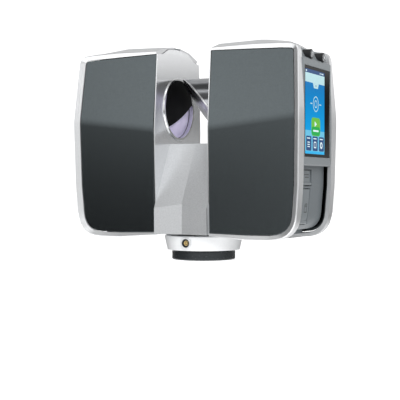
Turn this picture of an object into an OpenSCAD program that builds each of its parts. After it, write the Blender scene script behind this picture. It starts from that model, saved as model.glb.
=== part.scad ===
// Terrestrial laser scanner: two housings on a bridge that turns on a round
// base, with a spinning 45 degree mirror in the gap between the housings.
// Millimetres, +Z up, origin on the tripod thread axis at the base's lower face.

/* [Head] */
// Half of the width over both housings
half_width = 119.5; // [118:0.5:122]
// Half of the gap between the two housings
half_gap = 28; // [27:0.5:29]
// Half of the depth at the fold line, where the head is deepest
half_depth = 50; // [49:0.5:52]
// Height of the fold line of the covers at the outer side
fold_z = 135; // [125:1:139]
// How much lower the fold line is at the gap
fold_drop = 9.6; // [0:0.1:12]
// Height of the frames at the gap, along their front edge
frame_top = 200.4; // [199:0.2:202]
// Height of the frames' lower edge at the gap
frame_bottom = 24.8; // [24.6:0.1:25.4]
// Rise of the top towards the middle of the depth
top_rise = 8.3; // [6:0.1:9]

/* [Scanning mirror and lens] */
// Height of the mirror's spin axis
axis_z = 147.5; // [146:0.5:149]
// Radius of the mirror drum
mirror_r = 29.5; // [28:0.5:30]
// Angle of the mirror about its spin axis at rest
mirror_angle = 232; // [0:1:359]
// Radius of the receiving lens
lens_r = 28.5; // [27:0.5:29]

/* [Base] */
// Thickness of the mounting plate
plate_h = 9.6; // [7:0.1:10]
// Radius of the mounting plate
plate_r = 31; // [29:0.5:33]
// Radius of the 3/8 inch tripod thread
thread_r = 4.76; // [4.76:0.01:4.77]
// Radius of the base ring at its top
ring_top_r = 38.6; // [37:0.2:39]
// Radius of the base ring at its bottom
ring_bottom_r = 35.5; // [34:0.5:36]

/* [Azimuth drive] */
// Teeth on the fixed gear
gear_teeth = 60; // [60:4:60]
// Teeth on the motor pinion
pinion_teeth = 15; // [15:1:15]
// Tooth module of both gears
gear_module = 0.8; // [0.8:0.1:0.8]

/* [Controls and covers] */
// Travel of the push buttons
button_travel = 1.2; // [0.8:0.1:1.5]
// Radius of the push buttons
button_r = 3.5; // [3:0.1:3.8]
// Half of the width of the recess between the frames
recess_half = 36; // [35:0.5:37]
// Half of the width of the battery door
door_half = 30; // [26:1:32]

/* [Hidden] */
$fn = 96;
cover_gap = 0.6;
cover_turn = 2;
fold_run = 85;
fold_soft = 4;
fold_sag = 0.13;
cover_x = [-15, 115];
cover_z = [10, 215];
gap_inset = 0.55;
arch_half = 44;
arch_x = [88, 108];
arch_y = [-33, -19.5, -6, 6, 19.5, 33];
wall = 3;
ring_top_z = 23.6;
bridge_bottom = 25.8;
bridge_top = 112.5;
bridge_break_z = 55;
bridge_half_depth = 45.3;
beam_slope = 0.5;
plate_x = half_gap + wall;
plate_top = frame_top - 2;
recess_depth = 7.5;
recess_wall = 2.4;
top_step_x = 97;
bottom_step_x = 89;
step = 3;
lip = 1;
spindle_r = 10;
pinion_y = gear_module * (gear_teeth + pinion_teeth) / 2;
gear_z = 27;
gear_h = 7;
bearing_z = [40, 52];
bearing_h = 7;
shaft_r = 6;
running_gap = 0.04;
lens_dome_r = 150;
drum_x = [-24.5, half_gap - 0.8];
screen_y = [-30, 20];
screen_z = [101, 178];
glass_y = [-33, 34];
glass_z = [98, 181];
bezel_z = [90, 188.3];
bezel_x = half_width - 0.9;
button_y = [-15.5, 15.5];
button_z = 192.3;
port_z = [72, 86];
port_y = [-22, 3];
sd_z = [36, 68.6];
sd_y = [-26, 1];
hinge_r = 0.8;
knuckle_r = 1.6;
cover_t = 1.8;
door_lift = 0.4;
sd_lift = -2.1;
port_lift = -3;
shut_gap = 0.7;
door_z = [50, 118];
board_x = 92;
socket_z = 17;
socket_seat_y = 37.3;
tray_z = [55.3, 113];
button_length = 8.6;
button_back = bezel_x - 8.1;
arc_steps = 7;

// Half of the depth of the head at height z: deepest at the fold line
function crest(z) = half_depth - (z < fold_z ? 0.027 * (fold_z - z) : 0.107 * (z - fold_z));

// Points of a corner at b rounded over the distance r, between a and c
function corner(a, b, c, r) = let(
    s = b + r * (a - b) / norm(a - b),
    e = b + r * (c - b) / norm(c - b)
) [for (i = [0:arc_steps]) let(t = i / arc_steps)
    (1 - t) * (1 - t) * s + 2 * t * (1 - t) * b + t * t * e];

// Front view outline of a housing from the gap over the top, down the side
// and back along the bottom, moved inwards by ix sideways and iz vertically
function outline(ix, iz, x0 = half_gap + lip + 0.3) = let(
    a = [x0, frame_top - gap_inset * iz],
    b = [72, frame_top + 1.1 - iz],
    r = [top_step_x, frame_top + 0.5 - iz],
    c = [half_width - 3 - ix, frame_top - 0.4 - iz],
    d = [half_width + 0.4 - ix, fold_z],
    e = [half_width - 0.8 - ix, 72],
    f = [half_width - 4.4 - ix, frame_bottom - 2.2 + iz],
    s = [bottom_step_x, frame_bottom - 2.8 + iz],
    g = [68, frame_bottom - 3 + iz],
    h = [x0, frame_bottom + gap_inset * iz],
    rc = max(9 - ix, 3),
    rf = max(24 - ix, 8)
) concat([a, b, r - [step, 0], r, r + [0.6, 0]], corner(b, c, d, rc), corner(c, d, e, 12), [e],
    corner(e, f, g, rf), [s + [0.6, 0], s, s - [step, 0], g, h]);

// True where the frames reach in over the top or the bottom of a housing
function covered(p, margin = 0) = p[1] > fold_z ? p[0] <= top_step_x - margin
    : p[0] <= bottom_step_x - margin;

// Sideways reach of the recess floor, or of a surface inset from the outline, at height z
function side_x(inset, z) = lookup(z, [for (p = outline(inset, inset)) if (p[0] > 100) [p[1], p[0]]]);

// Closed solid through equal rows of points, one row at each station
module skin(rows) {
    n = len(rows);
    k = len(rows[0]);
    points = [for (row = rows, p = row) p];
    sides = [for (i = [0:n - 2], j = [0:k - 1]) let(m = (j + 1) % k)
        each [[i * k + j, (i + 1) * k + j, (i + 1) * k + m],
            [i * k + j, (i + 1) * k + m, i * k + m]]];
    first = [for (j = [0:k - 1]) j];
    last = [for (j = [k - 1:-1:0]) (n - 1) * k + j];
    polyhedron(points, concat(sides, [first], [last]));
}

// Rise of the arched top at depth y: full up to arch_x[0], none from arch_x[1]
function rise(p, y) = p[1] < fold_z ? 0 : top_rise * (1 - pow(y / arch_half, 2))
    * max(0, min(1, (arch_x[1] - p[0]) / (arch_x[1] - arch_x[0])));
// Line under the arch of the frames at outline point p, drop below its front edge
function under_arch(p, drop) = [for (y = arch_y) [y, p[1] - drop + (abs(y) < arch_y[5] ? rise(p, y) : 0)]];

// Depth of the rim's slope: shallow at the gap, deepest at the outer side
function rim_drop(p) = 0.8 + 2.6 * (p[0] - half_gap) / (half_width - half_gap);

// Sloped rim and wall of one frame, swept along the housing outline
module frame_shell() {
    outer = outline(0, 0);
    front = outline(0.9, 0.9);
    inner = outline(5.4, 4.4);
    wall_line = outline(3.6, 3.6);
    skin([for (i = [0:len(outer) - 1]) let(
        o = outer[i], f = front[i], n = inner[i], w = wall_line[i],
        back = covered(o) ? 6 : recess_half,
        yc = crest(o[1]),
        room = yc - back,
        wall_y = yc - min(10, room - 0.4),
        mid = (back + yc) / 2,
        wall_mid = (back + wall_y) / 2
    ) [
        [o[0], -back, o[1] + rise(o, back)],
        [o[0], -mid, o[1] + rise(o, mid)],
        [o[0], -yc + 1.2, o[1]],
        [f[0], -yc, f[1]],
        [n[0], -yc + rim_drop(o), n[1]],
        [n[0], -yc + min(7, room - 1.2), n[1]],
        [w[0], -wall_y, w[1]],
        [w[0], -wall_mid, w[1] + rise(o, wall_mid)],
        [w[0], -back, w[1] + rise(o, back)]
    ]]);
}

module mirror_x() mirror([1, 0, 0]) children();
module mirror_y() mirror([0, 1, 0]) children();

// Bent cover plate of the right front panel, with a soft fold
module cover_panel() {
    face = [for (z = [cover_z[0], fold_z - fold_soft, fold_z, fold_z + fold_soft, cover_z[1]])
        [1 - crest(z) + (z == fold_z ? fold_sag : 0), z]];
    intersection() {
        translate([half_gap, 0, -fold_drop]) rotate([0, -atan(fold_drop / fold_run), cover_turn])
            rotate([90, 0, 90]) translate([0, 0, cover_x[0]]) linear_extrude(cover_x[1] - cover_x[0])
                polygon(concat(face, [for (i = [len(face) - 1:-1:0]) face[i] + [wall, 0]]));
        rotate([90, 0, 0]) linear_extrude(60)
            polygon(outline(5.4 + cover_gap, 4.4 + cover_gap));
    }
}

// Plate that closes a housing towards the gap, without its holes
module side_plate() {
    fold = fold_z - fold_drop;
    translate([half_gap, 0, 0]) rotate([90, 0, 90]) {
        linear_extrude(lip) polygon([
            [-crest(26) + 2, frame_bottom + 0.4], [-half_depth + 2, fold], [-42.2, frame_top - 2.5], [2, frame_top + 1.5],
            [44.5, frame_top - 4.4], [half_depth - 2.5, fold], [crest(26) - 2, frame_bottom + 0.4]]);
        translate([0, 0, lip / 2]) linear_extrude(wall - lip / 2) polygon(concat(
            [[-42, 28.8], [-43, fold_z], [-38, plate_top - 4]],
            under_arch([half_gap, plate_top], 0.4),
            [[38, plate_top - 4], [43, fold_z], [42, 28.8]]));
    }
}

module along_x(x, y, z) translate([x, y, z]) rotate([0, 90, 0]) children();
module tube(h, r_out, r_in) difference() {
    cylinder(h = h, r = r_out);
    translate([0, 0, -1]) cylinder(h = h + 2, r = r_in);
}
module box(low, high) translate(low) cube(high - low);

// ---- Base ----
module mounting_plate() color("#1c1e20") difference() {
    union() {
        cylinder(h = 1, r1 = plate_r - 1, r2 = plate_r);
        translate([0, 0, 1]) cylinder(h = plate_h - 2.5, r = plate_r);
        translate([0, 0, plate_h - 1.5]) cylinder(h = 1.5, r = plate_r - 1.5);
    }
    translate([0, 0, -1]) cylinder(h = plate_h + 2, r = thread_r);
    for (a = [45:90:315]) rotate([0, 0, a]) translate([22, 0, -1]) {
        cylinder(h = plate_h + 2, r = 1.7);
        cylinder(h = 4.4, r = 3.2);
    }
}
module plate_screws() color("#8d9194") for (a = [45:90:315])
    rotate([0, 0, a]) translate([22, 0, 0]) difference() {
        union() {
            translate([0, 0, 0.5]) cylinder(h = 2.9, r = 2.9);
            translate([0, 0, 3.4]) cylinder(h = plate_h + 1.5, r = 1.6);
        }
        translate([0, 0, -1]) cylinder(h = 3, r = 1.3, $fn = 6);
    }
module base_ring() color("#d4d6d8") difference() {
    union() {
        translate([0, 0, plate_h]) cylinder(h = ring_top_z - plate_h - 0.8, r1 = ring_bottom_r, r2 = ring_top_r);
        translate([0, 0, ring_top_z - 0.8]) cylinder(h = 0.8, r1 = ring_top_r, r2 = ring_top_r - 0.8);
    }
    translate([0, 0, plate_h + 6]) cylinder(h = 30, r = 30.5);
    translate([0, 0, plate_h - 1]) cylinder(h = 5, r = thread_r + 0.6);
    for (a = [45:90:315]) rotate([0, 0, a]) translate([22, 0, plate_h - 1]) cylinder(h = 6, r = 1.6);
    translate([0, -20, socket_z]) rotate([90, 0, 0]) cylinder(h = 30, r = 4.8);
    translate([0, -socket_seat_y, socket_z]) rotate([90, 0, 0]) cylinder(h = 5, r = 5.9);
}
module power_socket_shell() color("#e4e6e8") translate([0, -28, socket_z]) rotate([90, 0, 0]) {
    tube(10.2, 4.8, 4.1);
    translate([0, 0, 9.4]) tube(1.2, 5.75, 4.1);
}
module power_socket_insert() color("#17181a") translate([0, -28, socket_z]) rotate([90, 0, 0])
    tube(9.6, 4.05, 2.5);
module power_socket_contacts() color("#d9b25a") translate([0, -28, socket_z]) rotate([90, 0, 0]) {
    tube(8.8, 2.45, 1.9);
    cylinder(h = 8.4, r = 0.9);
    cylinder(h = 1, r = 2.2);
}
module azimuth_spindle() color("#9a9da0") translate([0, 0, plate_h + 6]) {
    tube(3, 16, 4);
    tube(48, spindle_r, 4);
}
module azimuth_bearing_inner() color("#c6c9cc") for (z = bearing_z) translate([0, 0, z])
    rotate_extrude() difference() {
        translate([spindle_r, 0]) square([3, bearing_h]);
        translate([14.5, bearing_h / 2]) circle(r = 2.05);
    }
module toothed_disc(teeth, thin) {
    pitch = gear_module * teeth / 2;
    root = pitch - 1.25 * gear_module;
    half = 90 / teeth;
    linear_extrude(gear_h) union() {
        circle(r = root);
        for (i = [0:teeth - 1]) rotate(i * 360 / teeth) polygon([
            [root - 0.3, -root * sin(half * 1.2)], [pitch, -pitch * sin(half * thin)],
            [pitch + 0.85 * gear_module, -pitch * sin(half * thin * 0.45)],
            [pitch + 0.85 * gear_module, pitch * sin(half * thin * 0.45)],
            [pitch, pitch * sin(half * thin)], [root - 0.3, root * sin(half * 1.2)]]);
    }
}
module azimuth_gear() color("#b58b3c") translate([0, 0, gear_z]) difference() {
    rotate([0, 0, 90]) toothed_disc(gear_teeth, 0.86);
    translate([0, 0, -1]) cylinder(h = gear_h + 2, r = spindle_r);
    translate([0, 0, 2]) tube(gear_h, 20.5, 13);
}

// ---- Head: bridge, bearings and drive ----
module bridge_quarter() intersection() {
    box([0, -60, bridge_bottom], [half_gap, 0, bridge_top]);
    rotate([0, 0, -atan(0.13)]) box([-20, -bridge_half_depth, 0], [60, 60, 200]);
    rotate([0, 0, -atan(0.06)]) translate([0, -bridge_half_depth, bridge_break_z])
        rotate([-atan(beam_slope), 0, 0]) box([-20, 0, -100], [60, 120, 200]);
}
module bridge_casting() color("#c9ccce") difference() {
    union() {
        bridge_quarter();
        mirror_x() bridge_quarter();
        mirror_y() bridge_quarter();
        mirror_x() mirror_y() bridge_quarter();
    }
    translate([0, 0, bridge_bottom - 1]) cylinder(h = 13.5, r = 25.6);
    translate([0, pinion_y, bridge_bottom - 1]) cylinder(h = 13.5, r = 7.8);
    translate([0, 0, bridge_bottom]) cylinder(h = 38, r = 19);
    translate([0, pinion_y, bridge_bottom]) cylinder(h = 34.5, r = 9.2);
    box([-21, -11, 62], [21, 11, 104]);
    for (x = [-half_gap - 1, half_gap - 13], y = [-24, 24], z = [45, 68])
        along_x(x, y, z) cylinder(h = 14, r = 2);
}
module azimuth_bearing_outer() color("#c6c9cc") for (z = bearing_z) translate([0, 0, z])
    rotate_extrude() difference() {
        translate([16, 0]) square([3, bearing_h]);
        translate([14.5, bearing_h / 2]) circle(r = 2.03);
    }
module azimuth_bearing_balls() color("#eef0f2") for (z = bearing_z, a = [0:30:330])
    rotate([0, 0, a]) translate([14.52, 0, z + bearing_h / 2]) sphere(r = 2, $fn = 24);
module azimuth_motor() color("#4a4d50") translate([0, pinion_y, 38.3]) difference() {
    cylinder(h = 21, r = 9.2);
    translate([0, 0, -1]) cylinder(h = 8, r = 1.5 + running_gap);
}
module azimuth_pinion() color("#c9a24a") translate([0, pinion_y, gear_z]) {
    rotate([0, 0, -90 + 180 / pinion_teeth]) toothed_disc(pinion_teeth, 0.86);
    cylinder(h = 17, r = 1.5);
}

// ---- Head: housings ----
module left_side_plate() color("#d0d3d5") mirror_x() difference() {
    side_plate();
    along_x(half_gap - 1, 0, axis_z) cylinder(h = 6, r = 30);
    plate_holes();
}
module right_side_plate() color("#d0d3d5") difference() {
    side_plate();
    along_x(half_gap - 1, 0, axis_z) cylinder(h = 6, r = 13);
    plate_holes();
}
module plate_holes() for (y = [-24, 24], z = [45, 68]) along_x(half_gap - 1, y, z) cylinder(h = 6, r = 2.1);
module side_plate_screws() color("#8d9194") for (side = [0, 1]) mirror([side, 0, 0])
    for (y = [-24, 24], z = [45, 68]) along_x(half_gap - 10, y, z) {
        cylinder(h = 13, r = 1.95);
        translate([0, 0, 13]) difference() {
            cylinder(h = 4, r = 3.5);
            translate([0, 0, 1.5]) cylinder(h = 4, r = 1.6, $fn = 6);
        }
    }
module left_front_panel() color("#4b5256") mirror_x() cover_panel();
module left_rear_panel() color("#4b5256") mirror_x() mirror_y() cover_panel();
module right_front_panel() color("#4b5256") cover_panel();
module right_rear_panel() color("#4b5256") mirror_y() cover_panel();
module left_front_frame() color("#d9dbdc") mirror_x() frame_shell();
module left_rear_frame() color("#d9dbdc") mirror_x() mirror_y() frame_shell();
module right_front_frame() color("#d9dbdc") frame_shell();
module right_rear_frame() color("#d9dbdc") mirror_y() frame_shell();

// Band of constant thickness that follows the housing outline, 2 * half deep
module outline_band(inset, thick, half, arch = 0) rotate([90, 0, 0]) translate([0, 0, -half])
    linear_extrude(2 * half) difference() {
        polygon([for (p = outline(inset, inset)) p + [0, arch * rise(p, half)]]);
        polygon([for (p = outline(inset + thick, inset + thick, 0)) p + [0, arch * rise(p, half)]]);
    }

// Grey band that closes the housing: the recess floor between the two frames at
// the side, and a narrow strip between them over the top and under the bottom
module spine_shell() {
    reach = recess_half - 0.2;
    intersection() {
        outline_band(recess_depth, recess_wall, reach);
        box([bottom_step_x - 2, -reach, 0], [half_width + 5, reach, 210]);
    }
    intersection() {
        outline_band(1.5, 3, 5.6, 1);
        box([half_gap, -6, fold_z], [top_step_x, 6, cover_z[1]]);
    }
    intersection() {
        outline_band(1.5, 3, 5.6);
        box([half_gap, -6, 0], [bottom_step_x, 6, fold_z]);
    }
    box([top_step_x - 2, -reach, frame_top - 9], [top_step_x + 0.6, reach, frame_top - 3.3]);
    translate([top_step_x - 2, 0, 0]) rotate([90, 0, 90]) linear_extrude(2) polygon(concat(
        [[-arch_y[5], frame_top - 9]], under_arch([top_step_x, frame_top], 3.3), [[arch_y[5], frame_top - 9]]));
    box([bottom_step_x - 2, -reach, frame_bottom + 1], [bottom_step_x + 0.6, reach, frame_bottom + 7]);
    box([top_step_x - 2, -5.6, frame_top - 5], [top_step_x, 5.6, frame_top + 2]);
    box([bottom_step_x - 2, -5.6, frame_bottom - 1], [bottom_step_x, 5.6, frame_bottom + 5]);
}
// Solid lugs that hold the two ends of a cover's hinge pin
module pin_lugs(y, z, lift) for (end = [y[0] - 2.4, y[1] + 0.4])
    box([side_x(recess_depth + recess_wall - 0.2, z), end, z - knuckle_r],
        [pin_x(z, lift) + knuckle_r, end + 2, z + knuckle_r]);
module left_spine() color("#7f868a") mirror_x() {
    difference() {
        spine_shell();
        box([90, -door_half + 2, door_z[0] + 5], [130, door_half - 2, door_z[1] - 3]);
    }
    pin_lugs([-door_half, door_half], door_z[0] + knuckle_r, door_lift);
}
module right_spine() color("#7f868a") {
    difference() {
        spine_shell();
        box([95, -31, 100], [130, 31, 179]);
        for (y = button_y) along_x(95, y, button_z) cylinder(h = 30, r = 4.6);
        cover_pocket(port_y, port_z);
        cover_pocket(sd_y, sd_z);
    }
    pin_lugs(port_y, port_z[0] + knuckle_r, port_lift);
    pin_lugs(sd_y, sd_z[0] + knuckle_r, sd_lift);
}

// ---- Display side ----
module display_bezel() color("#84898c") difference() {
    rotate([90, 0, 0]) translate([0, 0, -35.2]) linear_extrude(70.4) polygon([
        [bezel_x - 5.9, bezel_z[0] + 1.5], [bezel_x - 1.5, bezel_z[0]], [bezel_x, bezel_z[0] + 1.5],
        [bezel_x, bezel_z[1] - 1.5], [bezel_x - 1.5, bezel_z[1]], [bezel_x - 4.4, bezel_z[1] + 1.1],
        [bezel_x - 9.4, bezel_z[1] + 10.1], [bezel_x - 12.6, bezel_z[1] + 10.9],
        [top_step_x + 1.4, bezel_z[1] + 11.1], [top_step_x + 1.4, bezel_z[1] + 9.5],
        [bezel_x - 13.1, bezel_z[1] + 9.4], [bezel_x - 14.6, bezel_z[1] + 4.9], [bezel_x - 8.8, bezel_z[1] + 4.7],
        [bezel_x - 8.4, bezel_z[1] + 1.7], [bezel_x - 5.9, bezel_z[1] - 12.3]]);
    box([bezel_x - 1.6, glass_y[0], glass_z[0]], [130, glass_y[1], glass_z[1]]);
    box([100, screen_y[0] - 1, screen_z[0] - 1], [130, screen_y[1] + 1, screen_z[1] + 1]);
    for (y = button_y) along_x(100, y, button_z) cylinder(h = 30, r = 4.4);
}
module display_panel() color("#1d6fb4")
    box([bezel_x - 5.2, screen_y[0] - 0.8, screen_z[0] - 0.8],
        [bezel_x - 1.65, screen_y[1] + 0.8, screen_z[1] + 0.8]);
module display_glass() color("#101214")
    box([bezel_x - 1.6, glass_y[0] + 0.2, glass_z[0] + 0.2],
        [bezel_x - 0.5, glass_y[1] - 0.2, glass_z[1] - 0.2]);
module button_bezels() color("#141516") for (y = button_y)
    along_x(button_back - button_travel - 1.3, y, button_z) tube(bezel_x + 1.5 - button_back + button_travel, 4.4, button_r + 0.1);
module push_button(y) along_x(button_back, y, button_z) {
    cylinder(h = button_length, r = button_r);
    translate([0, 0, button_length]) cylinder(h = 0.5, r1 = button_r, r2 = button_r - 0.6);
}
module power_button() color("#a9adb0") push_button(button_y[0]);
module start_button() color("#a9adb0") push_button(button_y[1]);

// Opening for a cover that lies in the recess floor
module cover_pocket(y, z)
    box([95, y[0] - shut_gap, z[0] - shut_gap], [130, y[1] + shut_gap, z[1] + shut_gap]);
// Cover that follows the housing outline between two heights, its inner face
// standing off the recess floor by lift
module curved_cover(y, z, lift) intersection() {
    rotate([90, 0, 0]) translate([0, 0, -60]) linear_extrude(120) difference() {
        polygon(outline(recess_depth - lift - cover_t, recess_depth - lift - cover_t));
        polygon(outline(recess_depth - lift, recess_depth - lift));
    }
    box([95, y[0], z[0]], [130, y[1], z[1]]);
}
// Distance of a cover's hinge pin from the middle plane, for a pin at height z
function pin_x(z, lift) = side_x(recess_depth, z) + knuckle_r + lift;

// Cover with a hinge barrel along its lower edge
module hinged_cover(y, z, lift) difference() {
    union() {
        curved_cover(y, [z[0] + knuckle_r, z[1]], lift);
        translate([pin_x(z[0] + knuckle_r, lift), y[0], z[0] + knuckle_r])
            rotate([-90, 0, 0]) cylinder(h = y[1] - y[0], r = knuckle_r);
    }
    translate([pin_x(z[0] + knuckle_r, lift), y[0] - 1, z[0] + knuckle_r])
        rotate([-90, 0, 0]) cylinder(h = y[1] - y[0] + 2, r = hinge_r + running_gap);
}
module hinge_pin(y, z, lift) translate([pin_x(z[0] + knuckle_r, lift), y[0] - 2.4, z[0] + knuckle_r])
    rotate([-90, 0, 0]) cylinder(h = y[1] - y[0] + 4.8, r = hinge_r);
module sd_cover() color("#8a9194") hinged_cover(sd_y, sd_z, sd_lift);
module port_cover() color("#8a9194") hinged_cover(port_y, port_z, port_lift);
module sd_cover_pin() color("#b9bcbe") hinge_pin(sd_y, sd_z, sd_lift);
module port_cover_pin() color("#b9bcbe") hinge_pin(port_y, port_z, port_lift);
module sd_slot() color("#2a2d30") difference() {
    box([78, -23, 50], [107, -1, 55]);
    box([80, -22, 51.2], [110, -2, 53.8]);
}
module sd_card() color("#2b4f8c") box([82, -21.5, 51.3], [106.2, -2.5, 53.4]);

// ---- Optics ----
module lens_ring() color("#e8eaec") along_x(-plate_x, 0, axis_z) difference() {
    union() {
        cylinder(h = wall + 0.2, r = 29.95);
        translate([0, 0, wall]) cylinder(h = 1.2, r1 = 31.4, r2 = 30.6);
    }
    translate([0, 0, -1]) cylinder(h = 8, r = lens_r);
}
// Black stop over the upper part of the lens, with a shallow curved lower edge
module lens_baffle() color("#060607") along_x(-half_gap - 0.6, 0, axis_z) intersection() {
    cylinder(h = 0.8, r = lens_r - 0.1);
    translate([-135, -66.6, -1]) cylinder(h = 3, r = 160);
}
module receiver_lens() color("#8f84b8") along_x(-half_gap - 0.7, 0, axis_z) mirror([0, 0, 1]) intersection() {
    cylinder(h = 9, r = lens_r - 0.2);
    translate([0, 0, lens_dome_r]) sphere(r = lens_dome_r);
}
module optics_tube() color("#1d1f21") along_x(-95, 0, axis_z) difference() {
    union() {
        cylinder(h = 12, r = 12);
        translate([0, 0, 12]) cylinder(h = 22, r1 = 12, r2 = 31);
        translate([0, 0, 34]) cylinder(h = 30, r = 31);
    }
    translate([0, 0, -1]) cylinder(h = 20, r = 8);
    translate([0, 0, 14]) cylinder(h = 20.1, r1 = 8, r2 = 28.6);
    translate([0, 0, 34]) cylinder(h = 40, r = 28.6);
}
module laser_module() color("#b08d3a") translate([-89, 0, axis_z + 12]) difference() {
    cylinder(h = 26, r = 6);
    translate([0, 0, 20]) cylinder(h = 8, r = 2);
}
module detector_board() color("#1f5a3a") box([-97, -18, axis_z - 18], [-95, 18, axis_z + 18]);
module mirror_housing() color("#5b5f63") along_x(plate_x, 0, axis_z) difference() {
    union() {
        cylinder(h = 4, r = 30);
        cylinder(h = 34, r = 18);
    }
    translate([0, 0, -1]) cylinder(h = 40, r = 12.5);
}
module mirror_bearings() color("#c6c9cc") for (x = [plate_x + 3, plate_x + 26])
    along_x(x, 0, axis_z) tube(6, 12.5, shaft_r + running_gap);
module mirror_motor_stator() color("#8a5a2b") along_x(plate_x + 34, 0, axis_z) tube(16, 18, 10);
module mirror_motor_rotor() color("#6f7377") along_x(plate_x + 35, 0, axis_z) tube(14, 9.6, shaft_r);
module encoder_disc() color("#d6dfe2") along_x(plate_x + 53, 0, axis_z) tube(1.4, 18, shaft_r);
module encoder_readhead() color("#25282b") difference() {
    box([plate_x + 50.2, -7, axis_z + 11], [board_x, 7, axis_z + 24]);
    box([plate_x + 52.4, -8, axis_z + 10], [plate_x + 55, 8, axis_z + 18.6]);
}
module mirror_shaft() color("#b5b8bb") along_x(drum_x[1], 0, axis_z) {
    cylinder(h = 62, r = shaft_r);
    cylinder(h = 4.6, r = 11);
}
// Frame of the mirror drum at rest: its cut faces -X before it is turned
module mirror_frame() translate([0, 0, axis_z]) rotate([mirror_angle, 0, 0]) children();
module drum(r) rotate([0, 90, 0]) translate([0, 0, -40]) cylinder(h = 80, r = r);
module mirror_body() color("#7c8084") mirror_frame() intersection() {
    drum(mirror_r);
    rotate([0, 0, -45]) box([1.1, -60, -40], [80, 60, 40]);
    box([drum_x[0], -40, -40], [drum_x[1], 40, 40]);
}
module mirror_glass() color("#aeb6bb") mirror_frame() intersection() {
    drum(mirror_r - 0.4);
    rotate([0, 0, -45]) box([-0.4, -60, -40], [1.1, 60, 40]);
    box([drum_x[0], -40, -40], [drum_x[1], 40, 40]);
}

// ---- Electronics and battery ----
module main_board() color("#1f5a3a") difference() {
    union() {
        box([board_x, -33, 62], [board_x + 1.6, 33, 190]);
        for (y = [-29, 29], z = [66, 186])
            along_x(board_x + 1, y, z) cylinder(h = side_x(recess_depth + recess_wall, z) - board_x - 1, r = 2.5);
    }
    for (y = [-29, 29], z = [66, 186]) along_x(board_x - 1, y, z) cylinder(h = 10, r = 1.2);
}
module battery_tray() color("#33373a") difference() {
    box([-109.2, -27.4, tray_z[0]], [-66, 27.4, tray_z[1]]);
    box([-111, -26, tray_z[0] + 1.5], [-67.5, 26, tray_z[1] - 1.4]);
}
module battery_pack() color("#26282b") box([-108.6, -25.7, tray_z[0] + 1.8], [-70, 25.7, tray_z[1] - 1.7]);
module battery_door() color("#8a9194") mirror_x() hinged_cover([-door_half, door_half], door_z, door_lift);
module battery_door_pin() color("#b9bcbe") mirror_x() hinge_pin([-door_half, door_half], door_z, door_lift);
module battery_latch() color("#3a3e41") mirror_x() curved_cover([-9, 9], [door_z[1] + 0.6, door_z[1] + 9], 0.3);

mounting_plate();
plate_screws();
base_ring();
power_socket_shell();
power_socket_insert();
power_socket_contacts();
azimuth_spindle();
azimuth_bearing_inner();
azimuth_gear();
bridge_casting();
azimuth_bearing_outer();
azimuth_bearing_balls();
azimuth_motor();
azimuth_pinion();
left_side_plate();
right_side_plate();
side_plate_screws();
left_front_panel();
left_rear_panel();
right_front_panel();
right_rear_panel();
left_front_frame();
left_rear_frame();
right_front_frame();
right_rear_frame();
left_spine();
right_spine();
display_bezel();
display_panel();
display_glass();
button_bezels();
power_button();
start_button();
lens_ring();
lens_baffle();
receiver_lens();
optics_tube();
laser_module();
detector_board();
mirror_housing();
mirror_bearings();
mirror_motor_stator();
encoder_readhead();
mirror_body();
mirror_glass();
mirror_shaft();
mirror_motor_rotor();
encoder_disc();
main_board();
battery_tray();
battery_pack();
battery_door();
battery_door_pin();
battery_latch();
sd_slot();
sd_card();
sd_cover();
sd_cover_pin();
port_cover();
port_cover_pin();
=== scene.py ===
"""Looks of the terrestrial laser scanner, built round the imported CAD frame."""
import math

import bmesh
import bpy
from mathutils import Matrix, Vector
from mathutils.bvhtree import BVHTree


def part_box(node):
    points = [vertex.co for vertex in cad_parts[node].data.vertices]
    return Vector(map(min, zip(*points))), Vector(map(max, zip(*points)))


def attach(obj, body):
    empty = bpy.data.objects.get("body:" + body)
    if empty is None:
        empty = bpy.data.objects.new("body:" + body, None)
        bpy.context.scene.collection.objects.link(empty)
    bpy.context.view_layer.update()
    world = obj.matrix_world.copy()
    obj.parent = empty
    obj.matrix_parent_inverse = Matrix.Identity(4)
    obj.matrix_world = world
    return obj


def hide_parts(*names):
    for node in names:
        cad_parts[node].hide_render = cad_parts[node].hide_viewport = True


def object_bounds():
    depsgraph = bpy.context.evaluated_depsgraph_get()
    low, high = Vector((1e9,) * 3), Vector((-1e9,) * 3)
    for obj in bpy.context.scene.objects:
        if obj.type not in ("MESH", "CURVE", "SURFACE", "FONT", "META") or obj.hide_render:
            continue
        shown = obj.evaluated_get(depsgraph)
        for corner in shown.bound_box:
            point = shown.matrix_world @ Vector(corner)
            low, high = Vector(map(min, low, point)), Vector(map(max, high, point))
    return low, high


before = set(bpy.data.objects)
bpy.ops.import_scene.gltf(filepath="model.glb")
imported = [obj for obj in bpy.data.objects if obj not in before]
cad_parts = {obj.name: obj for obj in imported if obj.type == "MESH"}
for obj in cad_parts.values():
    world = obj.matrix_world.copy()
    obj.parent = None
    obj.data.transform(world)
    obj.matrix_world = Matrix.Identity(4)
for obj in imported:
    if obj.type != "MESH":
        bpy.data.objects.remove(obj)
cad_low, cad_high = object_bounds()
MM = 0.001


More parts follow.
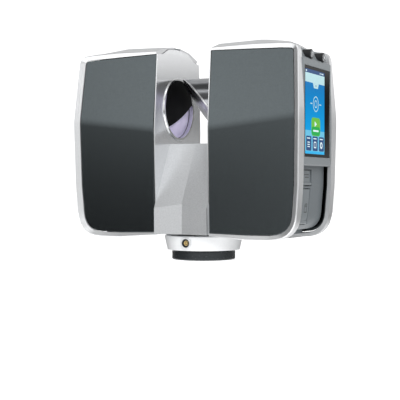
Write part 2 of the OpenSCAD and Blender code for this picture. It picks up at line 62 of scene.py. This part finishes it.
# ---- Materials ----
class Shader:
    """A material's node tree, with short calls for the nodes used here."""

    def __init__(self, name, colour, rough, metallic=0.0, **sockets):
        self.material = bpy.data.materials.new(name)
        self.material.use_nodes = True
        self.tree = self.material.node_tree
        self.bsdf = self.tree.nodes["Principled BSDF"]
        self.colour = colour
        self.rough = rough
        self.set("Base Color", (*colour, 1))
        self.set("Roughness", rough)
        self.set("Metallic", metallic)
        for socket, value in sockets.items():
            self.set(socket.replace("_", " "), value)
        self.coords = self.tree.nodes.new("ShaderNodeTexCoord")

    def set(self, socket, value):
        self.bsdf.inputs[socket].default_value = value

    def link(self, output, target):
        self.tree.links.new(output, target)

    def stretched(self, scale):
        """Object coordinates, scaled by three numbers."""
        mapping = self.tree.nodes.new("ShaderNodeMapping")
        mapping.inputs["Scale"].default_value = scale
        self.link(self.coords.outputs["Object"], mapping.inputs["Vector"])
        return mapping.outputs["Vector"]

    def noise(self, size, detail=3.0, stretch=(1, 1, 1)):
        """Noise with features of about size metres, longer along an axis with a small stretch."""
        node = self.tree.nodes.new("ShaderNodeTexNoise")
        node.inputs["Scale"].default_value = 1 / size
        node.inputs["Detail"].default_value = detail
        self.link(self.stretched(stretch), node.inputs["Vector"])
        return node.outputs["Fac"]

    def ramp(self, value, stops):
        """Colour that follows a value through stops of a place and a colour."""
        node = self.tree.nodes.new("ShaderNodeValToRGB")
        while len(node.color_ramp.elements) < len(stops):
            node.color_ramp.elements.new(0.5)
        for element, (place, colour) in zip(node.color_ramp.elements, stops):
            element.position = place
            element.color = (*colour, 1)
        self.link(value, node.inputs["Fac"])
        return node.outputs["Color"]

    def mottle(self, size, amount, stretch=(1, 1, 1)):
        """Colour that wanders a little lighter and darker than the base colour."""
        dark = [c * (1 - amount) for c in self.colour]
        light = [min(c * (1 + amount), 1) for c in self.colour]
        out = self.ramp(self.noise(size, 4.0, stretch), [(0.3, dark), (0.7, light)])
        self.link(out, self.bsdf.inputs["Base Color"])
        return self

    def uneven(self, size, amount, stretch=(1, 1, 1)):
        """Roughness that varies by amount on both sides of its value."""
        node = self.tree.nodes.new("ShaderNodeMapRange")
        node.inputs["From Min"].default_value = 0.3
        node.inputs["From Max"].default_value = 0.7
        node.inputs["To Min"].default_value = max(self.rough - amount, 0.02)
        node.inputs["To Max"].default_value = min(self.rough + amount, 1)
        self.link(self.noise(size, 3.0, stretch), node.inputs["Value"])
        self.link(node.outputs["Result"], self.bsdf.inputs["Roughness"])
        return self

    def grain(self, size, depth, stretch=(1, 1, 1), strength=0.5):
        """Fine relief, depth metres high."""
        bump = self.tree.nodes.new("ShaderNodeBump")
        bump.inputs["Strength"].default_value = strength
        bump.inputs["Distance"].default_value = depth
        self.link(self.noise(size, 2.0, stretch), bump.inputs["Height"])
        self.link(bump.outputs["Normal"], self.bsdf.inputs["Normal"])
        return self


def painted(name, colour, rough, fine=0.35 * MM, depth=0.02 * MM, tint=0.06, spread=0.04,
            relief=0.35, **sockets):
    """Fine-textured paint or moulded plastic."""
    shader = Shader(name, colour, rough, **sockets)
    shader.mottle(0.7 * MM, tint).uneven(1.6 * MM, spread)
    return shader.grain(fine, depth, strength=relief).material


def brushed(name, colour, rough, stretch, metallic=1.0):
    """Machined metal, with fine lines along the axis whose stretch is small."""
    shader = Shader(name, colour, rough, metallic)
    shader.mottle(1.2 * MM, 0.1, stretch).uneven(2 * MM, 0.06, stretch)
    return shader.grain(0.5 * MM, 0.01 * MM, stretch).material


def smooth(name, colour, rough, metallic, mottled, uneven, **sockets):
    """Even finish. mottled and uneven are each the size of the patches and how much they vary."""
    return Shader(name, colour, rough, metallic, **sockets).mottle(*mottled).uneven(*uneven).material


def glowing(name, colour, foot=None, amount=0.06):
    """A lit part of the display, going over to the colour foot towards its lower end."""
    shader = Shader(name, [c * 0.12 for c in colour], 0.1, Specular_IOR_Level=0.12)
    shader.set("Emission Strength", 1.0)
    dark = [c * (1 - amount) for c in colour]
    out = shader.ramp(shader.noise(3 * MM), [(0.35, dark), (0.65, colour)])
    if foot:
        low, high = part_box("display_panel")
        split = shader.tree.nodes.new("ShaderNodeSeparateXYZ")
        shader.link(shader.coords.outputs["Object"], split.inputs["Vector"])
        height = shader.tree.nodes.new("ShaderNodeMapRange")
        height.inputs["From Min"].default_value = low.z + 0.3 * (high.z - low.z)
        height.inputs["From Max"].default_value = high.z - 12 * MM
        shader.link(split.outputs["Z"], height.inputs["Value"])
        mix = shader.tree.nodes.new("ShaderNodeMix")
        mix.data_type = "RGBA"
        shader.link(height.outputs["Result"], mix.inputs["Factor"])
        mix.inputs["A"].default_value = (*foot, 1)
        shader.link(out, mix.inputs["B"])
        out = mix.outputs["Result"]
    shader.link(out, shader.bsdf.inputs["Emission Color"])
    return shader.material


PANEL = painted("panel_paint", (0.12, 0.138, 0.145), 0.22, depth=0.003 * MM, tint=0.07, spread=0.03,
                relief=0.12, Metallic=1.0)
FRAME = smooth("frame_silver", (0.74, 0.75, 0.76), 0.32, 0.7, (2 * MM, 0.02), (5 * MM, 0.02))
RECESS = painted("recess_grey", (0.14, 0.158, 0.17), 0.42)
BEZEL = painted("bezel_grey", (0.2, 0.22, 0.232), 0.4)
COVER = painted("cover_grey", (0.175, 0.195, 0.207), 0.4)
CAST = smooth("cast_aluminium", (0.68, 0.695, 0.71), 0.36, 0.75, (1.1 * MM, 0.07), (2 * MM, 0.05))
PLATE = smooth("side_plate_aluminium", (0.84, 0.85, 0.865), 0.17, 0.85, (2 * MM, 0.02), (5 * MM, 0.015))
RING = smooth("ring_paint", (0.76, 0.77, 0.78), 0.33, 0.35, (2 * MM, 0.015), (6 * MM, 0.015))
BLACK = painted("black_anodised", (0.045, 0.05, 0.054), 0.24, depth=0.006 * MM, tint=0.2, Metallic=0.5)
BLACK_PLASTIC = painted("black_plastic", (0.012, 0.013, 0.014), 0.45, tint=0.2)
STEEL = brushed("steel", (0.55, 0.56, 0.57), 0.3, (1, 1, 0.15))
CHROME = brushed("chrome", (0.86, 0.87, 0.88), 0.1, (1, 1, 1))
BUTTON = brushed("button_silver", (0.3, 0.31, 0.32), 0.24, (1, 1, 1))
MIRROR_METAL = brushed("mirror_drum", (0.42, 0.43, 0.45), 0.1, (0.2, 1, 1))
BRASS = brushed("brass", (0.6, 0.42, 0.16), 0.28, (1, 1, 0.3))
GOLD = brushed("gold", (1.0, 0.74, 0.34), 0.35, (1, 1, 1), 0.5)
MOTOR = brushed("motor_case", (0.12, 0.12, 0.13), 0.4, (1, 1, 0.2))
MIRROR = smooth("mirror_coat", (0.9, 0.91, 0.92), 0.28, 1.0, (8 * MM, 0.01), (20 * MM, 0.01))
LENS = Shader("lens_glass", (0.74, 0.68, 0.95), 0.3, 0.0, Coat_Weight=0.15, Coat_Roughness=0.1)
LENS = LENS.mottle(9 * MM, 0.08).material
BAFFLE = Shader("lens_stop", (0.0015, 0.0015, 0.002), 0.6, 0.0, Specular_IOR_Level=0.1)
BAFFLE = BAFFLE.mottle(1 * MM, 0.3).material
BOARD = painted("circuit_board", (0.02, 0.11, 0.05), 0.4, fine=1.5 * MM, depth=0.05 * MM, tint=0.25)
CARD = painted("card_blue", (0.03, 0.08, 0.3), 0.4)
ENCODER = Shader("encoder_glass", (0.6, 0.65, 0.66), 0.1, 0.2).mottle(2 * MM, 0.06).material
PRINT = smooth("display_border", (0.003, 0.003, 0.004), 0.08, 0.0, (2 * MM, 0.2), (20 * MM, 0.02),
               Specular_IOR_Level=0.15)
INK = painted("mark_ink", (0.03, 0.034, 0.037), 0.45, depth=0.004 * MM, tint=0.15)
PALE_INK = painted("mark_ink_pale", (0.6, 0.62, 0.63), 0.4, depth=0.004 * MM, tint=0.08)

LOOKS = {
    PANEL: ["left_front_panel", "left_rear_panel", "right_front_panel", "right_rear_panel"],
    FRAME: ["left_front_frame", "left_rear_frame", "right_front_frame", "right_rear_frame"],
    RECESS: ["left_spine", "right_spine"],
    BEZEL: ["display_bezel"],
    COVER: ["battery_door", "sd_cover", "port_cover"],
    CAST: ["bridge_casting"],
    PLATE: ["left_side_plate", "right_side_plate"],
    RING: ["base_ring", "power_socket_shell"],
    BLACK: ["mounting_plate", "optics_tube"],
    BLACK_PLASTIC: ["power_socket_insert", "button_bezels", "battery_tray", "battery_pack", "battery_latch",
                    "sd_slot", "encoder_readhead", "mirror_housing"],
    STEEL: ["plate_screws", "azimuth_spindle", "azimuth_bearing_inner", "azimuth_bearing_outer",
            "azimuth_bearing_balls", "side_plate_screws", "mirror_bearings", "mirror_shaft",
            "battery_door_pin", "sd_cover_pin", "port_cover_pin"],
    CHROME: ["lens_ring"],
    BUTTON: ["power_button", "start_button"],
    MIRROR_METAL: ["mirror_body"],
    MIRROR: ["mirror_glass"],
    BRASS: ["azimuth_gear", "azimuth_pinion", "laser_module"],
    GOLD: ["power_socket_contacts"],
    MOTOR: ["azimuth_motor", "mirror_motor_stator", "mirror_motor_rotor"],
    LENS: ["receiver_lens"],
    BAFFLE: ["lens_baffle"],
    BOARD: ["main_board", "detector_board"],
    CARD: ["sd_card"],
    ENCODER: ["encoder_disc"],
    PRINT: ["display_panel", "display_glass"],
}


# ---- CAD pieces that keep their shape ----
# Bevel width, and the smallest angle in degrees of an edge that gets it
FINE_BEVEL = (0.12 * MM, 28)
MATERIAL_BEVELS = {FRAME: (0.5 * MM, 28), PANEL: (0.45 * MM, 5), CAST: (0.45 * MM, 5)}
MATERIAL_BEVELS.update({material: (0.3 * MM, 20) for material in (BEZEL, COVER, RECESS, RING, PLATE)})


def soften(piece, width, angle):
    """Rounds the edges sharper than angle degrees."""
    bevel = piece.modifiers.new("edges", "BEVEL")
    bevel.width = width
    bevel.segments = 3
    bevel.limit_method = "ANGLE"
    bevel.angle_limit = math.radians(angle)


def refine(node, width, angle):
    """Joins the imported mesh's split corners, merges flat faces and rounds the hard edges, by modifiers."""
    weld = node.modifiers.new("join", "WELD")
    weld.merge_threshold = 0.002 * MM
    flat = node.modifiers.new("flat", "DECIMATE")
    flat.decimate_type = "DISSOLVE"
    flat.angle_limit = math.radians(0.8)
    soften(node, width, angle)
    normals = node.modifiers.new("normals", "WEIGHTED_NORMAL")
    normals.keep_sharp = True


for material, names in LOOKS.items():
    for name in names:
        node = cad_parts[name]
        node.data.materials.clear()
        node.data.materials.append(material)
        node.data.shade_smooth()
        refine(node, *MATERIAL_BEVELS.get(material, FINE_BEVEL))


# ---- Display ----
def rounded(y, z, radius, steps=5):
    """Corner points of a rectangle with round corners, in the display's plane."""
    centres = [(y[1] - radius, z[1] - radius), (y[0] + radius, z[1] - radius),
               (y[0] + radius, z[0] + radius), (y[1] - radius, z[0] + radius)]
    return [(c[0] + radius * math.cos(a), c[1] + radius * math.sin(a))
            for k, c in enumerate(centres)
            for a in (math.pi / 2 * (k + i / steps) for i in range(steps + 1))]


def square(centre, half, radius):
    """Corner points of a square with round corners."""
    return rounded((centre[0] - half, centre[0] + half), (centre[1] - half, centre[1] + half), radius)


def ring_points(centre, radius, steps=24):
    """Points round a circle in the display's plane."""
    return [(centre[0] + radius * math.cos(a), centre[1] + radius * math.sin(a))
            for a in (2 * math.pi * i / steps for i in range(steps))]


class Plates:
    """One mesh of thin closed plates that lie in planes of constant X."""

    def __init__(self, name, materials):
        self.name = name
        self.bm = bmesh.new()
        self.materials = materials

    def add(self, points, back, front, material):
        """A closed plate with one outline."""
        low = [self.bm.verts.new((back, y, z)) for y, z in points]
        high = [self.bm.verts.new((front, y, z)) for y, z in points]
        faces = [self.bm.faces.new(list(reversed(low))), self.bm.faces.new(high)]
        for i in range(len(points)):
            j = (i + 1) % len(points)
            faces.append(self.bm.faces.new([low[i], low[j], high[j], high[i]]))
        for face in faces:
            face.material_index = material

    def add_ring(self, outer, inner, back, front, material):
        """A closed frame between two outlines with the same number of points."""
        rows = [[self.bm.verts.new((x, y, z)) for y, z in points]
                for x, points in ((back, outer), (front, outer), (front, inner), (back, inner))]
        n = len(outer)
        for row, following in zip(rows, rows[1:] + rows[:1]):
            for i in range(n):
                j = (i + 1) % n
                face = self.bm.faces.new([row[i], row[j], following[j], following[i]])
                face.material_index = material

    def finish(self, body, slot, *replaced):
        """Turns the plates into a piece that rides on a body and may replace CAD nodes."""
        bmesh.ops.recalc_face_normals(self.bm, faces=self.bm.faces)
        mesh = bpy.data.meshes.new(self.name)
        self.bm.to_mesh(mesh)
        self.bm.free()
        for material in self.materials:
            mesh.materials.append(material)
        piece = bpy.data.objects.new(self.name, mesh)
        bpy.context.scene.collection.objects.link(piece)
        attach(piece, body)
        if replaced:
            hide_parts(*replaced)
        return piece


UI = {
    "print": PRINT,
    "navy": glowing("ui_navy", (0.02, 0.07, 0.2)),
    "pale": glowing("ui_pale", (0.47, 0.7, 0.74)),
    "blue": glowing("ui_blue", (0.0, 0.17, 0.47), (0.0, 0.33, 0.72)),
    "cyan": glowing("ui_cyan", (0.14, 0.5, 0.72)),
    "strip": glowing("ui_strip", (0.02, 0.42, 0.78)),
    "green": glowing("ui_green", (0.16, 0.5, 0.06)),
    "green_low": glowing("ui_green_low", (0.02, 0.4, 0.08)),
    "white": glowing("ui_white", (0.7, 0.86, 0.9)),
}


def display():
    """Lit screen: plain coloured fields, tiles and pictograms without any lettering."""
    keys = list(UI)
    screen = Plates("display_screen", [UI[k] for k in keys])
    low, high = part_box("display_panel")
    glass_low, glass_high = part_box("display_glass")
    edge = 0.8 * MM
    y0, y1 = low.y + edge, high.y - edge
    z0, z1 = low.z + edge, high.z - edge
    layer = 0.04 * MM
    base = glass_high.x - 5 * layer
    screen.add(rounded((y0, y1), (z0, z1), 0.4 * MM), low.x, base, keys.index("print"))

    def field(key, y, z, level, radius=0.0):
        square_corners = [(y[1], z[1]), (y[0], z[1]), (y[0], z[0]), (y[1], z[0])]
        shape(key, rounded(y, z, radius) if radius else square_corners, level)

    def shape(key, points, level):
        screen.add(points, base, base + level * layer, keys.index(key))

    status, band, main, tiles, foot = (z1 - d * MM for d in (0, 3.4, 11.8, 55.6, 74.6))
    field("navy", (y0, y1), (band, status), 1)
    field("pale", (y0, y1), (main, band), 1)
    field("blue", (y0, y1), (tiles, main), 1)
    field("cyan", (y0, y1), (foot, tiles), 1)
    field("strip", (y0, y1), (z0, foot), 1)
    middle_y = (y0 + y1) / 2 + 2.2 * MM
    for offset, width in ((-25.5, 3), (10.5, 1.6), (13.5, 1.6), (16.5, 3.4)):
        start = middle_y - 0.2 * MM + offset * MM
        if start + width * MM < y1:
            field("white", (start, start + width * MM), (band + 1.1 * MM, band + 2.3 * MM), 2, 0.3 * MM)
    tab = main - 4.6 * MM
    shape("pale", [(middle_y + 7.5 * MM, main), (middle_y - 7.5 * MM, main),
                   (middle_y - 5.2 * MM, tab), (middle_y + 5.2 * MM, tab)], 2)
    shape("navy", [(middle_y + 1.6 * MM, tab + 2.8 * MM), (middle_y - 1.6 * MM, tab + 2.8 * MM),
                   (middle_y, tab + 1.3 * MM)], 3)
    sight = (middle_y, main - 19 * MM)
    for radius in (7.2 * MM, 3.6 * MM):
        screen.add_ring(ring_points(sight, radius), ring_points(sight, radius - 0.9 * MM),
                        base, base + 2 * layer, keys.index("pale"))
    for side in (-1, 1):
        field("pale", tuple(sorted((sight[0] + side * 9 * MM, sight[0] + side * 14 * MM))),
              (sight[1] - 0.5 * MM, sight[1] + 0.5 * MM), 2, 0.4 * MM)
    button = (middle_y - 11.5 * MM, middle_y + 11.5 * MM)
    top = main - 31.6 * MM
    field("green", button, (top - 17 * MM, top), 2, 4.2 * MM)
    field("green_low", (button[0] + 0.6 * MM, button[1] - 0.6 * MM),
          (top - 16.4 * MM, top - 8.5 * MM), 3, 3.4 * MM)
    shape("white", [(middle_y - 3 * MM, top - 3.4 * MM), (middle_y - 3 * MM, top - 8.6 * MM),
                    (middle_y + 2.4 * MM, top - 6 * MM)], 4)
    field("white", (middle_y - 7 * MM, middle_y + 7 * MM), (top - 13 * MM, top - 11.4 * MM), 4, 0.7 * MM)
    pitch, width, height = 16.4 * MM, 13.2 * MM, 13.4 * MM
    for k in range(3):
        y = y0 + 2.6 * MM + k * pitch
        z = foot + 0.4 * MM
        field("navy", (y, min(y + width, y1 - 0.4 * MM)), (z, z + height), 2, 1.4 * MM)
        centre = (y + width / 2 - 0.4 * MM, z + height * 0.42)
        field("white", (y + 2 * MM, y + width - 3.2 * MM),
              (z + height - 2.6 * MM, z + height - 1.6 * MM), 3, 0.4 * MM)
        if k == 0:
            for row in (-2, 0, 2):
                field("white", (centre[0] - 3 * MM, centre[0] + 3 * MM),
                      (centre[1] + (row - 0.45) * MM, centre[1] + (row + 0.45) * MM), 3, 0.3 * MM)
        elif k == 1:
            screen.add_ring(square(centre, 3 * MM, 0.8 * MM), square(centre, 2 * MM, 0.5 * MM),
                            base, base + 3 * layer, keys.index("white"))
        else:
            screen.add_ring(ring_points(centre, 3.2 * MM), ring_points(centre, 1.5 * MM),
                            base, base + 3 * layer, keys.index("white"))
    screen.finish("head", "display", "display_panel")

    outer = rounded((glass_low.y, glass_high.y), (glass_low.z, glass_high.z), 0.9 * MM)
    inner = rounded((y0, y1), (z0, z1), 0.4 * MM)
    border = Plates("display_border", [PRINT])
    border.add_ring(outer, inner, glass_low.x, glass_high.x, 0)
    piece = border.finish("head", "display_glass", "display_glass")
    soften(piece, 0.2 * MM, 30)


display()


# ---- Printed marks, without any lettering ----
def mark(name, piece, body, slot, ink, rings=(), fields=()):
    """Ink 0.08 mm thick that follows the outer surface of a CAD piece."""
    tree = BVHTree.FromObject(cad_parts[piece], bpy.context.evaluated_depsgraph_get())
    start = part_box(piece)[1].x + 10 * MM
    print_layer = Plates(name, [ink])
    for outer, inner in rings:
        print_layer.add_ring(outer, inner, 0, 1, 0)
    for points in fields:
        print_layer.add(points, 0, 1, 0)
    for vert in print_layer.bm.verts:
        hit = tree.ray_cast(Vector((start, vert.co.y, vert.co.z)), Vector((-1, 0, 0)))[0]
        vert.co.x = hit.x + (0.05 * MM if vert.co.x else -0.03 * MM)
    print_layer.finish(body, slot)


def bar(y, z, half_y, half_z):
    """Outline of a bar with round ends."""
    return rounded((y - half_y, y + half_y), (z - half_z, z + half_z), min(half_y, half_z) * 0.9, 3)


def arc(centre, radius, start, end, steps):
    """Points along an arc, with angles counted from the top."""
    return [(centre[0] + radius * math.sin(a), centre[1] + radius * math.cos(a))
            for a in (start + (end - start) * i / steps for i in range(steps + 1))]


def card_mark():
    """Memory card with its cut corner and three contacts."""
    low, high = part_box("sd_cover")
    y, z = high.y - 7 * MM, low.z + 0.46 * (high.z - low.z)
    outer = [(y + 3.4 * MM, z + 4.2 * MM), (y - 1.2 * MM, z + 4.2 * MM), (y - 3.4 * MM, z + 2 * MM),
             (y - 3.4 * MM, z - 4.2 * MM), (y + 3.4 * MM, z - 4.2 * MM)]
    inner = [(y + 2.6 * MM, z + 3.4 * MM), (y - 0.9 * MM, z + 3.4 * MM), (y - 2.6 * MM, z + 1.7 * MM),
             (y - 2.6 * MM, z - 3.4 * MM), (y + 2.6 * MM, z - 3.4 * MM)]
    contacts = [bar(y + step * MM, z + 1.7 * MM, 0.32 * MM, 0.9 * MM) for step in (-0.6, 0.5, 1.6)]
    mark("sd_cover_mark", "sd_cover", "sd_cover", "recess_grey", INK, [(outer, inner)], contacts)


def port_mark():
    """Two bars, one above the other."""
    low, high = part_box("port_cover")
    y, z = (low.y + high.y) / 2 + 3 * MM, high.z - 4 * MM
    bars = [bar(y, z, 6 * MM, 0.4 * MM), bar(y + 1 * MM, z - 2.4 * MM, 5 * MM, 0.4 * MM)]
    mark("port_cover_mark", "port_cover", "port_cover", "recess_grey", INK, fields=bars)


def power_mark():
    """Open ring with a stroke in its opening."""
    low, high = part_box("power_button")
    centre = ((low.y + high.y) / 2, (low.z + high.z) / 2)
    half_opening = 0.6
    steps = 20
    outer = arc(centre, 1.7 * MM, half_opening, 2 * math.pi - half_opening, steps)
    inner = arc(centre, 1.3 * MM, half_opening, 2 * math.pi - half_opening, steps)
    ring = [[outer[i], outer[i + 1], inner[i + 1], inner[i]] for i in range(steps)]
    stroke = bar(centre[0], centre[1] + 1.2 * MM, 0.22 * MM, 0.8 * MM)
    mark("power_button_mark", "power_button", "power_button", "button_silver", PALE_INK,
         fields=ring + [stroke])


def start_mark():
    """Triangle that points to the right."""
    low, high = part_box("start_button")
    y, z = (low.y + high.y) / 2, (low.z + high.z) / 2
    triangle = [(y + 1.5 * MM, z), (y - 1 * MM, z + 1.5 * MM), (y - 1 * MM, z - 1.5 * MM)]
    mark("start_button_mark", "start_button", "start_button", "button_silver", PALE_INK,
         fields=[triangle])


card_mark()
port_mark()
power_mark()
start_mark()


# ---- Floor, backdrop and light ----
def stage_surface():
    """Pale floor with a little light of its own, so that it stays white."""
    shader = Shader("pale_floor", (0.9, 0.905, 0.91), 0.9)
    shader.mottle(200 * MM, 0.01)
    shader.set("Emission Color", (1, 1, 1, 1))
    shader.set("Emission Strength", 0.55)
    return shader.material


def bowl(radius=3.0, bend=1.2, height=3.0, sides=96):
    """Round floor that curves up into a wall on every side."""
    steps = 12
    profile = [(0.0, 0.0), (radius - bend, 0.0)]
    profile += [(radius - bend + bend * math.sin(a), bend - bend * math.cos(a))
                for a in (math.pi / 2 * i / steps for i in range(1, steps + 1))]
    profile += [(radius, height)]
    mesh = bpy.data.meshes.new("floor")
    bm = bmesh.new()
    rows = []
    for r, z in profile:
        turns = [2 * math.pi * i / sides for i in range(sides)] if r else [0.0]
        rows.append([bm.verts.new((r * math.cos(t), r * math.sin(t), z)) for t in turns])
    for low, high in zip(rows, rows[1:]):
        for i in range(sides):
            j = (i + 1) % sides
            corners = [low[0], high[i], high[j]] if len(low) == 1 else [low[i], high[i], high[j], low[j]]
            bm.faces.new(corners)
    bm.normal_update()
    bm.to_mesh(mesh)
    bm.free()
    mesh.shade_smooth()
    mesh.materials.append(stage_surface())
    floor = bpy.data.objects.new("floor", mesh)
    bpy.context.scene.collection.objects.link(floor)
    floor.visible_glossy = False
    floor.visible_diffuse = False


def softbox(name, place, aim, size, power):
    """Soft lamp that is not itself seen, in the picture or in reflections."""
    light = bpy.data.lights.new(name, "AREA")
    light.shape = "RECTANGLE"
    light.size, light.size_y = size
    light.energy = power
    lamp = bpy.data.objects.new(name, light)
    bpy.context.scene.collection.objects.link(lamp)
    lamp.location = place
    lamp.rotation_euler = (Vector(aim) - Vector(place)).to_track_quat("-Z", "Y").to_euler()
    lamp.visible_camera = False
    lamp.visible_glossy = False


def surroundings():
    """Grey room for reflections, in a back sector and four front sectors from far left to open right."""
    world = bpy.data.worlds.new("studio")
    bpy.context.scene.world = world
    world.use_nodes = True
    tree = world.node_tree
    coords = tree.nodes.new("ShaderNodeTexCoord")
    split = tree.nodes.new("ShaderNodeSeparateXYZ")
    tree.links.new(coords.outputs["Generated"], split.inputs["Vector"])

    def spread(output, low, high):
        """The output, brought from low ... high to 0 ... 1."""
        node = tree.nodes.new("ShaderNodeMapRange")
        node.inputs["From Min"].default_value = low
        node.inputs["From Max"].default_value = high
        tree.links.new(output, node.inputs["Value"])
        return node.outputs["Result"]

    def levels(stops):
        """Brightness by height, from 0 straight below to 1 straight above."""
        ramp = tree.nodes.new("ShaderNodeValToRGB")
        while len(ramp.color_ramp.elements) < len(stops):
            ramp.color_ramp.elements.new(0.5)
        for element, (place, value) in zip(ramp.color_ramp.elements, stops):
            element.position = place
            element.color = (value, value, value, 1)
        tree.links.new(spread(split.outputs["Z"], -1, 1), ramp.inputs["Fac"])
        return ramp.outputs["Color"]

    def blend(factor, low, high):
        mix = tree.nodes.new("ShaderNodeMix")
        mix.data_type = "RGBA"
        tree.links.new(factor, mix.inputs["Factor"])
        for output, socket in ((low, "A"), (high, "B")):
            tree.links.new(output, mix.inputs[socket])
        return mix.outputs["Result"]

    above = [(0.56, 0.95), (0.6, 1.35), (0.68, 1.35), (0.74, 0.12),
             (0.86, 0.2), (0.905, 1.0), (0.93, 0.12), (1.0, 0.08)]
    below = [(0.0, 1.7), (0.3, 1.7)]
    far_left = levels(below + [(0.38, 0.06), (0.49, 0.03), (0.52, 0.12), (0.7, 0.12), (1.0, 0.08)])
    front_left = levels(below + [(0.37, 0.03), (0.452, 0.01), (0.478, 0.07), (0.504, 0.4)] + above)
    front_right = levels(below + [(0.4, 0.4), (0.45, 0.2), (0.478, 0.25), (0.504, 0.42)] + above)
    front_open = levels(below + [(0.4, 0.3), (0.45, 0.3), (0.478, 0.7), (0.504, 0.75), (0.56, 0.8),
                                 (0.68, 1.2), (0.74, 0.5), (0.86, 1.1), (0.905, 1.9), (0.94, 0.9),
                                 (1.0, 0.15)])
    back = levels([(0.0, 1.4), (0.3, 1.2), (0.42, 0.08), (0.47, 0.2), (0.5, 0.8), (0.53, 0.1), (0.548, 0.12),
                   (0.565, 1.2), (0.62, 1.2), (0.68, 0.6), (0.93, 0.6), (0.95, 0.1)])
    front = blend(spread(split.outputs["X"], -0.7, -0.6), far_left, front_left)
    front = blend(spread(split.outputs["X"], -0.48, -0.36), front, front_right)
    front = blend(spread(split.outputs["X"], -0.32, -0.22), front, front_open)
    mixed = blend(spread(split.outputs["Y"], 0.1, 0.4), front, back)
    tree.links.new(mixed, tree.nodes["Background"].inputs["Color"])
    tree.nodes["Background"].inputs["Strength"].default_value = 1.0


bowl()
surroundings()
middle = (cad_low + cad_high) / 2
softbox("top", (0.0, 0.1, 1.3), middle, (1.2, 0.8), 2.5)
softbox("front_right", (0.75, -1.35, 0.75), middle, (0.6, 0.6), 16)
softbox("front_left", (-1.2, -1.1, 0.4), middle, (0.6, 0.6), 2)
softbox("back", (-0.3, 1.5, 0.5), middle, (1.2, 0.6), 12)

# ---- Camera: metres and radians, but millimetres for the sensor and the focal length ----
CAMERA_TURN = math.radians(27.26)
CAMERA_PITCH = math.radians(0.83)
CAMERA_DISTANCE = 0.986
CAMERA_SLIDE = -0.00365
CAMERA_HEIGHT = 0.072
SENSOR_WIDTH = 36
FOCAL_LENGTH = 90.28

lens = bpy.data.cameras.new("camera")
lens.sensor_width = SENSOR_WIDTH
lens.lens = FOCAL_LENGTH
camera = bpy.data.objects.new("camera", lens)
bpy.context.scene.collection.objects.link(camera)
sine, cosine = math.sin(CAMERA_TURN), math.cos(CAMERA_TURN)
camera.location = (CAMERA_DISTANCE * sine + CAMERA_SLIDE * cosine,
                   -CAMERA_DISTANCE * cosine + CAMERA_SLIDE * sine, CAMERA_HEIGHT)
camera.rotation_euler = (math.pi / 2 - CAMERA_PITCH, 0, CAMERA_TURN)
bpy.context.scene.camera = camera
bpy.context.scene.view_settings.view_transform = "Standard"
